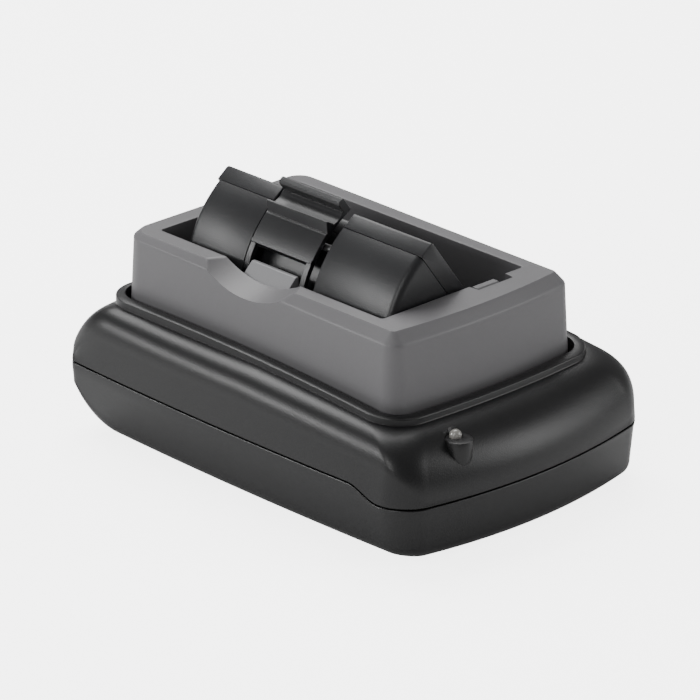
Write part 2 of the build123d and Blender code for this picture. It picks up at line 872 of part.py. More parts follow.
inner_curve = pack_curve - pack_wall
channel_curve = pack_curve - channel_depth
out_axis = (-cos(tilt), 0, -sin(tilt))
boss_places = [
    (down, end_y)
    for down in (12.0, 44.0)
    for end_y in (pack_front + 4.4, pack_back_end - 4.4)
]


def boss_plane(down, at_y, out):
    x, z = pack_point(down, out)
    return Plane(origin=(x, at_y, z), x_dir=(0, 1, 0), z_dir=out_axis)


with BuildPart() as pack_housing:
    add(housing_bar(0, pack_curve, pack_front, pack_length))
    ends = pack_housing.edges().filter_by(GeomType.CIRCLE)
    fillet(ends, radius=pack_edge)
    # hollow: one deep bar under the channel, two fuller ones beside it
    add(
        housing_bar(pack_wall, channel_curve - pack_wall, pack_front + pack_wall, pack_length - 2 * pack_wall),
        mode=Mode.SUBTRACT,
    )
    add(
        housing_bar(pack_wall, inner_curve, pack_front + pack_wall, channel_front - 2 * pack_wall),
        mode=Mode.SUBTRACT,
    )
    add(
        housing_bar(
            pack_wall,
            inner_curve,
            channel_end + pack_wall,
            pack_back_end - channel_end - 2 * pack_wall,
        ),
        mode=Mode.SUBTRACT,
    )
    # channel for the latch
    add(
        ring_bar(pack_curve + 3.0, channel_curve, channel_start, channel_width),
        mode=Mode.SUBTRACT,
    )
    # bosses for the cover's screws
    for down, at_y in boss_places:
        with BuildSketch(boss_plane(down, at_y, cover_line)):
            Circle(2.8)
        extrude(amount=9.0)
        with BuildSketch(boss_plane(down, at_y, cover_line)):
            Circle(1.2)
        extrude(amount=8.0, mode=Mode.SUBTRACT)
    # windows for the contact pads
    with BuildSketch(Plane.XY.offset(pack_floor_z)):
        with Locations(*plunger_spots):
            Rectangle(pad_size, pad_size)
    extrude(amount=pack_wall, mode=Mode.SUBTRACT)
    # holes for the latch pin
    with BuildSketch(section_plane(channel_start - pack_wall)):
        with Locations(pack_point(pivot_deep, pivot_at)):
            Circle(pivot_radius)
    extrude(amount=-channel_width - 2 * pack_wall, mode=Mode.SUBTRACT)
pack_housing.part.label = "pack_housing"

with BuildPart() as pack_cover:
    add(
        local_bar(
            [(0, 0), (0, cover_thickness), (pack_back, cover_thickness), (pack_back, 0)],
            pack_front,
            pack_length,
        )
    )
    rims = pack_cover.edges().filter_by(Axis.Y).sort_by(Axis.Z)
    fillet(rims[-1], radius=cover_edge)
    add(
        local_bar(
            [(10.5, 2.4), (10.5, 9.0), (pack_back - 2.4, 9.0), (pack_back - 2.4, 2.4)],
            pack_front + 8.0,
            pack_length - 16.0,
        ),
        mode=Mode.SUBTRACT,
    )
    add(
        local_bar(
            [(-2.0, -2.0), (-2.0, 9.0), (channel_depth, 9.0), (channel_depth, -2.0)],
            channel_start,
            channel_width,
        ),
        mode=Mode.SUBTRACT,
    )
    for down, at_y in boss_places:
        with BuildSketch(boss_plane(down, at_y, -1.0)):
            Circle(1.3)
        extrude(amount=10.0, mode=Mode.SUBTRACT)
        with BuildSketch(boss_plane(down, at_y, -1.0)):
            Circle(2.5)
        extrude(amount=3.0, mode=Mode.SUBTRACT)
pack_cover.part.label = "pack_cover"

with BuildPart() as pack_screws:
    for down, at_y in boss_places:
        with BuildSketch(boss_plane(down, at_y, 0.4)):
            Circle(2.3)
        extrude(amount=1.6)
        with BuildSketch(boss_plane(down, at_y, 2.0)):
            Circle(1.15)
        extrude(amount=11.0)
pack_screws.part.label = "pack_screws"

latch_outer = pack_curve + latch_proud
latch_inner = latch_outer - latch_thickness
leg_end = latch_edge + latch_leg
bar_out = -1.8
pivot_point = pack_point(pivot_deep, pivot_at)


def latch_leg(leg_y):
    """One of the two legs that straddle the keeper."""
    with BuildPart() as leg:
        add(ring_bar(latch_outer, latch_inner, leg_y, latch_leg_width))
        add(
            local_bar(
                [(-2.0, latch_edge - 1.0), (-2.0, leg_end), (14.0, leg_end), (14.0, latch_edge - 1.0)],
                leg_y,
                latch_leg_width,
            ),
            mode=Mode.INTERSECT,
        )
    return leg.part


with BuildPart() as release_latch:
    # curved plate
    add(ring_bar(latch_outer, latch_inner, latch_start, latch_width))
    add(
        local_bar(
            [(-2.0, 0.4), (-2.0, latch_edge), (12.0, latch_edge), (12.0, 0.4)],
            latch_start,
            latch_width,
        ),
        mode=Mode.INTERSECT,
    )
    # press bar along the back edge
    add(
        local_bar(
            [
                (-latch_bar_height + 0.6, bar_out),
                (-latch_bar_height, bar_out + 0.6),
                (-latch_bar_height, bar_out + latch_bar_width - 0.9),
                (-latch_bar_height + 0.9, bar_out + latch_bar_width),
                (1.2, bar_out + latch_bar_width),
                (2.2, bar_out),
            ],
            latch_start,
            latch_width,
        )
    )
    # finger rib across the plate
    add(
        local_bar(
            [
                (0.4, latch_rib_at - 1.8),
                (-latch_rib_height, latch_rib_at - 0.2),
                (-latch_rib_height, latch_rib_at + 0.4),
                (0.6, latch_rib_at + 2.6),
            ],
            latch_start,
            latch_width,
        )
    )
    for leg_y in (latch_start, latch_end - latch_leg_width):
        add(latch_leg(leg_y))
    # two lugs on the pin
    for lug_y in (latch_start + 4.0, latch_end - 7.0):
        add(
            local_bar(
                [
                    (1.6, pivot_at - pivot_lug),
                    (1.6, pivot_at + pivot_lug),
                    (pivot_deep, pivot_at + pivot_lug),
                    (pivot_deep, pivot_at - pivot_lug),
                ],
                lug_y,
                3.0,
            )
        )
        with BuildSketch(section_plane(lug_y)):
            with Locations(pivot_point):
                Circle(pivot_lug)
        extrude(amount=-3.0)
    with BuildSketch(section_plane(latch_start)):
        with Locations(pivot_point):
            Circle(pivot_radius + pivot_clearance)
    extrude(amount=-latch_width, mode=Mode.SUBTRACT)
release_latch.part.label = "release_latch"

with BuildPart() as latch_pin:
    with BuildSketch(section_plane(channel_start - pack_wall + 0.2)):
        with Locations(pivot_point):
            Circle(pivot_radius)
    extrude(amount=-channel_width - 2 * pack_wall + 0.4)
latch_pin.part.label = "latch_pin"

with BuildPart() as latch_spring:
    for turn in range(6):
        with BuildSketch(section_plane(latch_y - 4.0 + turn * 1.4)):
            with Locations(pivot_point):
                Circle(pivot_radius + 0.8)
                Circle(pivot_radius, mode=Mode.SUBTRACT)
        extrude(amount=-1.0)
latch_spring.part.label = "latch_spring"

# ---------------------------------------------------------------- inside the pack
cell_y = pack_front + cell_start
cell_spots = [pack_point(down, out) for down, out in cell_places]
core_curve = channel_curve - pack_wall

with BuildPart() as cells:
    with BuildSketch(section_plane(cell_y)):
        with Locations(*cell_spots):
            Circle(cell_radius)
    extrude(amount=-cell_length)
    fillet(cells.edges().filter_by(GeomType.CIRCLE), radius=0.8)
cells.part.label = "cells"

with BuildPart() as cell_holders:
    for plate_y in (cell_y + 4.0, cell_y + cell_length - 7.0):
        add(housing_bar(pack_wall + 0.2, core_curve - 0.2, plate_y, 3.0))
        with BuildSketch(section_plane(plate_y)):
            with Locations(*cell_spots):
                Circle(cell_radius + 0.05)
        extrude(amount=-3.0, mode=Mode.SUBTRACT)
    # clear of the contact strip
    with BuildSketch(Plane.XY.offset(pack_floor_z)):
        with Locations((contact_x, contact_y)):
            Rectangle(10.0, 36.0)
    extrude(amount=4.4, mode=Mode.SUBTRACT)
cell_holders.part.label = "cell_holders"

with BuildPart() as cell_straps:
    add(local_bar([(21.5, 12.0), (21.5, 18.0), (44.5, 18.0), (44.5, 12.0)], cell_y - 0.3, 0.3))
    add(
        local_bar(
            [(21.5, 12.0), (21.5, 17.0), (30.0, 32.5), (36.0, 32.5), (36.0, 27.5), (27.5, 12.0)],
            cell_y + cell_length,
            0.3,
        )
    )
cell_straps.part.label = "cell_straps"

guard_y = cell_y + cell_length + 2.0
with BuildPart() as protection_board:
    add(housing_bar(pack_wall + 0.1, core_curve - 0.1, guard_y, 1.6))
protection_board.part.label = "protection_board"

with BuildPart() as protection_chips:
    add(local_bar([(24.0, 12.0), (24.0, 20.0), (34.0, 20.0), (34.0, 12.0)], guard_y + 1.6, 2.2))
    add(local_bar([(37.0, 12.0), (37.0, 18.0), (43.0, 18.0), (43.0, 12.0)], guard_y + 1.6, 1.4))
protection_chips.part.label = "protection_chips"

with BuildPart() as contact_pads:
    with BuildSketch(Plane.XY.offset(pack_floor_z + 0.3)):
        with Locations(*plunger_spots):
            Rectangle(pad_size - 0.1, pad_size - 0.1)
    extrude(amount=pack_wall - 0.3)
contact_pads.part.label = "contact_pads"

with BuildPart() as contact_strip:
    with BuildSketch(Plane.XY.offset(pack_floor_z + pack_wall)):
        with Locations((contact_x, contact_y)):
            Rectangle(8.0, 32.0)
    extrude(amount=1.2)
contact_strip.part.label = "contact_strip"

# ---------------------------------------------------------------- files
export_step(base_lower_shell.part, "parts/base_lower_shell.step")
export_step(base_upper_shell.part, "parts/base_upper_shell.step")
export_step(rubber_feet.part, "parts/rubber_feet.step")
export_step(shell_screws.part, "parts/shell_screws.step")
export_step(cradle.part, "parts/cradle.step")
export_step(front_snap_arm.part, "parts/front_snap_arm.step")
export_step(rear_snap_arm.part, "parts/rear_snap_arm.step")
export_step(latch_keeper.part, "parts/latch_keeper.step")
export_step(pack_rest.part, "parts/pack_rest.step")
export_step(contact_block.part, "parts/contact_block.step")
export_step(contact_plungers.part, "parts/contact_plungers.step")
export_step(contact_springs.part, "parts/contact_springs.step")
export_step(contact_leads.part, "parts/contact_leads.step")
export_step(charger_board.part, "parts/charger_board.step")
export_step(transformer_core.part, "parts/transformer_core.step")
export_step(transformer_winding.part, "parts/transformer_winding.step")
export_step(filter_capacitors.part, "parts/filter_capacitors.step")
export_step(heat_sink.part, "parts/heat_sink.step")
export_step(controller_chip.part, "parts/controller_chip.step")
export_step(board_screws.part, "parts/board_screws.step")
export_step(inlet_socket.part, "parts/inlet_socket.step")
export_step(inlet_pin.part, "parts/inlet_pin.step")
export_step(status_lamp.part, "parts/status_lamp.step")
export_step(lamp_holder.part, "parts/lamp_holder.step")
export_step(pack_housing.part, "parts/pack_housing.step")
export_step(pack_cover.part, "parts/pack_cover.step")
export_step(pack_screws.part, "parts/pack_screws.step")
export_step(release_latch.part, "parts/release_latch.step")
export_step(latch_pin.part, "parts/latch_pin.step")
export_step(latch_spring.part, "parts/latch_spring.step")
export_step(cells.part, "parts/cells.step")
export_step(cell_holders.part, "parts/cell_holders.step")
export_step(cell_straps.part, "parts/cell_straps.step")
export_step(protection_board.part, "parts/protection_board.step")
export_step(protection_chips.part, "parts/protection_chips.step")
export_step(contact_pads.part, "parts/contact_pads.step")
export_step(contact_strip.part, "parts/contact_strip.step")
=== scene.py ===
"""Charging dock with a docked battery pack: visible surfaces, finishes, light and camera.

Shapes are worked out in millimetres in the part's own frame and put into meshes in metres.
"""
import math

import bmesh
import bpy
import numpy as np
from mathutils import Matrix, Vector


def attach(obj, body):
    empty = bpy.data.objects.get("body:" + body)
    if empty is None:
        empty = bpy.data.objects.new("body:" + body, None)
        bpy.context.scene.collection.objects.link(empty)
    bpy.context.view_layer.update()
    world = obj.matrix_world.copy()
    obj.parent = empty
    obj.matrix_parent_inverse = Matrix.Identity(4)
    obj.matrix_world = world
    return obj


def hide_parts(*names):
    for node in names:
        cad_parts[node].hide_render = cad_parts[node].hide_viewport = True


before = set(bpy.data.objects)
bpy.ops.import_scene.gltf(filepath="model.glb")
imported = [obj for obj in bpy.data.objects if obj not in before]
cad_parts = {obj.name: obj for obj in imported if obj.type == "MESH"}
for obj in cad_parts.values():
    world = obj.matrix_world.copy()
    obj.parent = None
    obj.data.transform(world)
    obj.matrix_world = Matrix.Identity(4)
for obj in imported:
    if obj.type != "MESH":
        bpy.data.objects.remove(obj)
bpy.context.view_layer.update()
MM = 0.001

# ---------------------------------------------------------------- sizes of the dock, millimetres
SEAM_Z = 27.5
SEAM_DROP = 4.5
WIDEST_Z = 25.0
FLOOR_Z = 2.5
RIM_Z = 79.5
POCKET_HALF = 36.0
POCKET_FRONT = -50.5
POCKET_BACK = 69.5
POCKET_FLOOR = 39.5
CRADLE_BASE = 45.0
CRADLE_DRAFT = math.tan(math.radians(3.0))
SPREAD = 3.6 + (RIM_Z - CRADLE_BASE) * CRADLE_DRAFT
CRADLE_FOOT = dict(
    half=42.0 + SPREAD, front=-62.2 - SPREAD, back=76.1 + SPREAD, radius=7.0, radius_back=11.0, bow_front=3.0
)
LIP_GAP = 2.0
LIP_WIDTH = 4.5
CREST_Y = 44.0
CREST_Z = 52.3
ARCH_RADIUS = 1400.0
TAIL_RADIUS = 20.0
TAIL_CENTRE_Z = 31.5
SWEEP_LENGTH = 24.0
SWEEP_TOP = 24.5
SHOULDER_RISE = 11.0
NOSE_RISE = 21.5
SHOULDER_LEAN = 1.35
SHELL_WALL = 2.4
LATCH_Y = 12.5
LAMP = (-33.5, -85.8)
TURRET = (-34.0, -88.2)
TURRET_RADIUS = 5.0
LEDGE_Z = 43.8
PACK_FRONT = -49.5
PACK_BACK = 60.5
CHANNEL = (-8.5, 29.2)
TILT = math.radians(36.5)
APEX = (-9.7, 101.5)
CURVE = 45.0
COVER = 7.0


def arch(y):
    """Height of the arched top: crest height less the squared distance from the crest over 2 R."""
    return CREST_Z - (y - CREST_Y) ** 2 / (2.0 * ARCH_RADIUS)


def smooth(t):
    """Smooth step from 0 to 1: 3 t^2 - 2 t^3, held outside the interval."""
    t = np.clip(t, 0.0, 1.0)
    return t * t * (3.0 - 2.0 * t)


def seam(y):
    """Height of the joint between the shells: level, then an S-step down round the lamp end."""
    return SEAM_Z - SEAM_DROP * smooth((-62.0 - y) / 15.0)


# ---------------------------------------------------------------- mesh helpers
def outline(half, front, back, radius, radius_back=None, bow_side=0.0, bow_front=0.0, bow_back=0.0,
            sides=80, ends=60, turn=14):
    """Plan loop, anticlockwise from the front left: a rectangle with quarter-circle corners, warped so
    that each edge bulges by its bow times one minus the squared distance from its middle."""
    quarter = np.linspace(0.0, math.pi / 2, turn, endpoint=False)
    radii = {-1: radius, 1: radius if radius_back is None else radius_back}
    loop = []
    corners = ((1, -1, -90.0), (1, 1, 0.0), (-1, 1, 90.0), (-1, -1, 180.0))
    for k, (sx, sy, start) in enumerate(corners):
        r = radii[sy]
        cx = sx * (half - r)
        cy = (back - r) if sy > 0 else (front + r)
        previous = corners[k - 1]
        pr = radii[previous[1]]
        px = previous[0] * (half - pr)
        py = (back - pr) if previous[1] > 0 else (front + pr)
        first = math.radians(start)
        count = ends if k % 2 == 0 else sides
        t = np.linspace(0.0, 1.0, count, endpoint=False)
        edge_x = px + pr * math.cos(first) + (cx + r * math.cos(first) - px - pr * math.cos(first)) * t
        edge_y = py + pr * math.sin(first) + (cy + r * math.sin(first) - py - pr * math.sin(first)) * t
        loop.append(np.stack([edge_x, edge_y], 1))
        angle = first + quarter
        loop.append(np.stack([cx + r * np.cos(angle), cy + r * np.sin(angle)], 1))
    points = np.concatenate(loop)
    x, y = points[:, 0], points[:, 1]
    middle = (front + back) / 2
    reach = (back - front) / 2
    along = (y - middle) / reach
    across = x / half
    new_x = x + across * bow_side * (1.0 - along ** 2)
    ahead = np.clip(-along, 0.0, 1.0) ** 3
    behind = np.clip(along, 0.0, 1.0) ** 3
    new_y = y + (1.0 - across ** 2) * (bow_back * behind - bow_front * ahead)
    return np.stack([new_x, new_y], 1)


def ring(plan, z):
    """One level of a lofted shell: the plan loop at height z, a number or a value per point."""
    return np.column_stack([plan, np.broadcast_to(z, len(plan))])


def grow(foot, amount, back=None):
    """The cradle's foot outline, grown by amount with its corners, or by another amount at the back."""
    back = amount if back is None else back
    return dict(
        half=foot["half"] + amount,
        front=foot["front"] - amount,
        back=foot["back"] + back,
        radius=max(foot["radius"] + amount, 0.5),
        radius_back=max(foot["radius_back"] + back, 0.5),
        bow_front=foot["bow_front"],
    )


def lip_plan(reach):
    """Foot outline grown by reach for the lip and trough, which are narrower at the back."""
    back = reach if reach < 0 else 1.0 + (reach - LIP_GAP) * 2.6 / LIP_WIDTH
    return grow(CRADLE_FOOT, reach, back)


def loft(levels, start_pole=None, end_pole=None):
    """Vertices and faces of a loop-by-loop surface, each level joined to the next, with optional poles."""
    levels = [np.asarray(level, float) for level in levels]
    count = len(levels[0])
    verts = np.concatenate(levels)
    rows = np.arange(len(levels) - 1)[:, None] * count
    here = np.arange(count)[None, :]
    after = (here + 1) % count
    quads = np.stack([rows + here, rows + after, rows + count + after, rows + count + here], -1)
    faces = quads.reshape(-1, 4).tolist()
    if start_pole is not None:
        verts = np.concatenate([verts, [start_pole]])
        pole = len(verts) - 1
        faces += [[pole, (k + 1) % count, k] for k in range(count)]
    if end_pole is not None:
        verts = np.concatenate([verts, [end_pole]])
        pole = len(verts) - 1
        last = (len(levels) - 1) * count
        faces += [[pole, last + k, last + (k + 1) % count] for k in range(count)]
    return verts, faces


def bar(profile, stations, axis="y"):
    """Vertices and faces of a closed profile carried straight along an axis, with flat ends.
    The profile is a list of (x, z) points along Y, or of (y, z) points along X."""
    profile = np.asarray(profile, float)
    count = len(profile)
    levels = []
    for place in stations:
        level = np.empty((count, 3))
        level[:, 2] = profile[:, 1]
        level[:, 0 if axis == "y" else 1] = profile[:, 0]
        level[:, 1 if axis == "y" else 0] = place
        levels.append(level)
    verts, faces = loft(levels)
    last = (len(stations) - 1) * count
    faces.append(list(range(count))[::-1])
    faces.append([last + k for k in range(count)])
    return verts, faces


def mesh_object(name, parts):
    """An object and its mesh, in metres, from (vertices, faces) pairs in millimetres put together."""
    verts, faces, start = [], [], 0
    for part_verts, part_faces in parts:
        verts.append(np.asarray(part_verts) * MM)
        faces += [[start + i for i in face] for face in part_faces]
        start += len(part_verts)
    mesh = bpy.data.meshes.new(name)
    mesh.from_pydata(np.concatenate(verts).tolist(), [], faces)
    outward(mesh)
    obj = bpy.data.objects.new(name, mesh)
    bpy.context.scene.collection.objects.link(obj)
    return obj, mesh


def piece(name, parts, body, material, sharp=35.0, bevel=0.0, replaces=()):
    """One visible piece made of the parts, riding on a body and standing in for the replaced nodes."""
    obj, mesh = mesh_object(name, parts)
    mesh.shade_smooth()
    mesh.set_sharp_from_angle(angle=math.radians(sharp))
    if bevel:
        edge = obj.modifiers.new("edge", "BEVEL")
        edge.width = bevel * MM
        edge.segments = 2
        edge.limit_method = "ANGLE"
        edge.angle_limit = math.radians(35)
        edge.harden_normals = True
    mesh.materials.append(material)
    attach(obj, body)
    if replaces:
        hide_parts(*replaces)
    return obj


def outward(mesh):
    """Merge doubled points and turn every face outwards."""
    work = bmesh.new()
    work.from_mesh(mesh)
    bmesh.ops.remove_doubles(work, verts=work.verts, dist=2e-6)
    bmesh.ops.dissolve_degenerate(work, edges=work.edges, dist=1e-7)
    bmesh.ops.recalc_face_normals(work, faces=work.faces)
    work.to_mesh(mesh)
    work.free()


# ---------------------------------------------------------------- finishes
def new_group(name, inputs, outputs):
    """An empty shader node group with float inputs (name, default) and named outputs."""
    group = bpy.data.node_groups.new(name, "ShaderNodeTree")
    for label, default in inputs:
        socket = group.interface.new_socket(label, in_out="INPUT", socket_type="NodeSocketFloat")
        socket.default_value = default
    for label, kind in outputs:
        group.interface.new_socket(label, in_out="OUTPUT", socket_type=kind)
    source = group.nodes.new("NodeGroupInput")
    sink = group.nodes.new("NodeGroupOutput")
    return group, source, sink


def noise(tree, coords, detail=3.0):
    node = tree.nodes.new("ShaderNodeTexNoise")
    node.inputs["Detail"].default_value = detail
    tree.links.new(coords, node.inputs["Vector"])
    return node


def math_node(tree, operation, first, second):
    node = tree.nodes.new("ShaderNodeMath")
    node.operation = operation
    for socket, value in zip(node.inputs, (first, second)):
        if isinstance(value, float):
            socket.default_value = value
        else:
            tree.links.new(value, socket)
    return node.outputs[0]


def make_grain_group():
    """Moulded grain: fine cells over a slow variation. Gives a height, a tone and a roughness mask."""
    group, source, sink = new_group(
        "moulded_grain",
        [("Grain Scale", 1500.0), ("Patch Scale", 30.0), ("Tone Spread", 0.1)],
        [("Height", "NodeSocketFloat"), ("Tone", "NodeSocketFloat"), ("Rough Mask", "NodeSocketFloat")],
    )
    coords = group.nodes.new("ShaderNodeTexCoord").outputs["Object"]
    fine = noise(group, coords, 2.0)
    group.links.new(source.outputs["Grain Scale"], fine.inputs["Scale"])
    cells = group.nodes.new("ShaderNodeTexVoronoi")
    group.links.new(coords, cells.inputs["Vector"])
    group.links.new(source.outputs["Grain Scale"], cells.inputs["Scale"])
    slow = noise(group, coords, 4.0)
    group.links.new(source.outputs["Patch Scale"], slow.inputs["Scale"])
    height = math_node(group, "ADD", fine.outputs["Fac"], cells.outputs["Distance"])
    spread = math_node(group, "MULTIPLY", slow.outputs["Fac"], source.outputs["Tone Spread"])
    speck = math_node(group, "MULTIPLY", fine.outputs["Fac"], source.outputs["Tone Spread"])
    tone = math_node(group, "ADD", spread, speck)
    group.links.new(height, sink.inputs["Height"])
    group.links.new(tone, sink.inputs["Tone"])
    group.links.new(slow.outputs["Fac"], sink.inputs["Rough Mask"])
    return group


def make_brushed_group():
    """Drawn metal: noise stretched along one direction. Gives a height and a tone."""
    group, source, sink = new_group(
        "drawn_metal",
        [("Line Scale", 900.0), ("Tone Spread", 0.1)],
        [("Height", "NodeSocketFloat"), ("Tone", "NodeSocketFloat"), ("Rough Mask", "NodeSocketFloat")],
    )
    coords = group.nodes.new("ShaderNodeTexCoord").outputs["Object"]
    stretch = group.nodes.new("ShaderNodeMapping")
    stretch.inputs["Scale"].default_value = (1.0, 0.06, 1.0)
    group.links.new(coords, stretch.inputs["Vector"])
    lines = noise(group, stretch.outputs["Vector"], 4.0)
    group.links.new(source.outputs["Line Scale"], lines.inputs["Scale"])
    tone = math_node(group, "MULTIPLY", lines.outputs["Fac"], source.outputs["Tone Spread"])
    group.links.new(lines.outputs["Fac"], sink.inputs["Height"])
    group.links.new(tone, sink.inputs["Tone"])
    group.links.new(lines.outputs["Fac"], sink.inputs["Rough Mask"])
    return group


GRAIN = make_grain_group()
DRAWN = make_brushed_group()


def finish(name, colour, rough, group=GRAIN, scale=1500.0, spread=0.12, bump=0.1, depth=0.00005,
           rough_spread=0.06, metallic=0.0, specular=0.4, coat=0.0, patch=30.0):
    """A finish: its colour lightened by the group's tone, roughness spread by its mask, and fine bump."""
    material = bpy.data.materials.new(name)
    material.use_nodes = True
    tree = material.node_tree
    shader = tree.nodes["Principled BSDF"]
    shader.inputs["Metallic"].default_value = metallic
    shader.inputs["Specular IOR Level"].default_value = specular
    shader.inputs["Coat Weight"].default_value = coat
    shader.inputs["Coat Roughness"].default_value = 0.15
    effect = tree.nodes.new("ShaderNodeGroup")
    effect.node_tree = group
    effect.inputs["Grain Scale" if group is GRAIN else "Line Scale"].default_value = scale
    effect.inputs["Tone Spread"].default_value = spread
    if group is GRAIN:
        effect.inputs["Patch Scale"].default_value = patch
    mix = tree.nodes.new("ShaderNodeMix")
    mix.data_type = "RGBA"
    mix.inputs["A"].default_value = (*[c * (1.0 - spread * 0.6) for c in colour], 1.0)
    mix.inputs["B"].default_value = (*[min(c * 2.4 + 0.004, 1.0) for c in colour], 1.0)
    tree.links.new(effect.outputs["Tone"], mix.inputs["Factor"])
    tree.links.new(mix.outputs["Result"], shader.inputs["Base Color"])
    level = tree.nodes.new("ShaderNodeMapRange")
    level.inputs["To Min"].default_value = rough - rough_spread
    level.inputs["To Max"].default_value = rough + rough_spread
    tree.links.new(effect.outputs["Rough Mask"], level.inputs["Value"])
    tree.links.new(level.outputs["Result"], shader.inputs["Roughness"])
    relief = tree.nodes.new("ShaderNodeBump")
    relief.inputs["Strength"].default_value = bump
    relief.inputs["Distance"].default_value = depth
    tree.links.new(effect.outputs["Height"], relief.inputs["Height"])
    tree.links.new(relief.outputs["Normal"], shader.inputs["Normal"])
    return material


BLACK_SHELL = finish("black_shell", (0.0040, 0.0040, 0.0044), 0.36, scale=2300.0, bump=0.5, spread=0.10)
GREY_CRADLE = finish("grey_cradle", (0.105, 0.103, 0.107), 0.42, scale=2600.0, bump=0.4, spread=0.08)
PACK_BLACK = finish("pack_plastic", (0.0095, 0.0097, 0.0108), 0.36, scale=2600.0, bump=0.45, spread=0.10)
LATCH_BLACK = finish("latch_plastic", (0.0100, 0.0102, 0.0112), 0.34, scale=2600.0, bump=0.3, spread=0.10)
LIGHT_GREY = finish("light_grey_plastic", (0.19, 0.19, 0.195), 0.35, scale=1800.0, bump=0.15, spread=0.06)
RUBBER = finish("foot_rubber", (0.012, 0.012, 0.012), 0.75, scale=1200.0, bump=0.4)
STEEL = finish("screw_steel", (0.42, 0.42, 0.43), 0.32, DRAWN, 1200.0, metallic=1.0, bump=0.2)
GOLD = finish("contact_gold", (0.70, 0.48, 0.18), 0.25, DRAWN, 1400.0, metallic=1.0, bump=0.1)
SPRING = finish("spring_steel", (0.50, 0.50, 0.52), 0.22, DRAWN, 1500.0, metallic=1.0, bump=0.1)
BOARD = finish("circuit_board", (0.012, 0.085, 0.030), 0.38, scale=700.0, spread=0.2, bump=0.15)
CHIP = finish("chip_black", (0.015, 0.015, 0.016), 0.55, scale=2200.0, bump=0.3)
COPPER = finish("winding_copper", (0.48, 0.17, 0.06), 0.30, DRAWN, 1500.0, metallic=1.0, bump=0.5)
IRON = finish("core_iron", (0.09, 0.09, 0.09), 0.5, DRAWN, 2500.0, metallic=0.8, bump=0.6)
SLEEVE = finish("capacitor_sleeve", (0.015, 0.025, 0.07), 0.25, scale=900.0, bump=0.1, coat=0.3)
ALUMINIUM = finish("sink_aluminium", (0.52, 0.52, 0.53), 0.38, DRAWN, 900.0, metallic=1.0, bump=0.3)
CELL = finish("cell_sleeve", (0.02, 0.10, 0.22), 0.28, scale=800.0, bump=0.1, coat=0.3)
NICKEL = finish("strap_nickel", (0.50, 0.48, 0.43), 0.30, DRAWN, 1300.0, metallic=1.0, bump=0.2)
NATURAL = finish("holder_plastic", (0.42, 0.42, 0.39), 0.5, scale=1500.0, bump=0.2)


def lens_finish():
    """Diffusing lamp lens: pale, glossy, with a faint flow pattern."""
    material = finish("lamp_lens", (0.30, 0.29, 0.27), 0.10, scale=500.0, spread=0.15, bump=0.03, coat=0.6)
    shader = material.node_tree.nodes["Principled BSDF"]
    shader.inputs["Transmission Weight"].default_value = 0.35
    return material


LENS = lens_finish()

# ---------------------------------------------------------------- base
LOWER_DRAFT = math.tan(math.radians(9.0))
WALL_PLAN = dict(half=63.7, front=-88.5, back=92.5, radius=11.0, radius_back=4.0)
WALL_BOWS = dict(bow_side=2.3, bow_front=9.0, bow_back=5.0)
BASE_LOOP = dict(sides=150, ends=130, turn=18)
LIP_FOOT = lip_plan(LIP_GAP + LIP_WIDTH)


def wall_plan(inset, front=None, back=None):
    """Plan loop of the base, shrunk by inset, or by other amounts at the front and back."""
    front = inset if front is None else front
    back = inset if back is None else back
    return outline(
        WALL_PLAN["half"] - inset,
        WALL_PLAN["front"] + front,
        WALL_PLAN["back"] - back,
        max(WALL_PLAN["radius"] - inset, 4.0),
        max(WALL_PLAN["radius_back"] - inset, 1.0),
        **WALL_BOWS,
        **BASE_LOOP,
    )


def facing(plan):
    """How much each point of a plan loop faces the front, the back and the sides, adding up to one."""
    step = np.roll(plan, -1, 0) - np.roll(plan, 1, 0)
    normal = np.stack([step[:, 1], -step[:, 0]], 1)
    normal /= np.linalg.norm(normal, axis=1)[:, None]
    share = normal[:, 1] ** 2
    front = np.where(normal[:, 1] < 0, share, 0.0)
    back = np.where(normal[:, 1] > 0, share, 0.0)
    return front, back, 1.0 - front - back


def back_edge(x):
    """Y of the base's back edge at x: the wall's, bulging by its bow in the middle."""
    return WALL_PLAN["back"] + WALL_BOWS["bow_back"] * (1.0 - (x / WALL_PLAN["half"]) ** 2)


def roof(x, y):
    """Height of the top: the arch, and near the back edge a quarter circle of the tail's radius."""
    run = np.clip(y - (back_edge(x) - TAIL_RADIUS), 0.0, TAIL_RADIUS)
    return np.minimum(arch(y), TAIL_CENTRE_Z + np.sqrt(TAIL_RADIUS ** 2 - run ** 2))


def underside(x, y):
    """Height of the underside: flat, then a quarter ellipse that sweeps up to the back edge."""
    run = np.clip((y - (back_edge(x) - SWEEP_LENGTH)) / SWEEP_LENGTH, 0.0, 1.0)
    return SWEEP_TOP - (SWEEP_TOP - FLOOR_Z) * np.sqrt(1.0 - run ** 2)


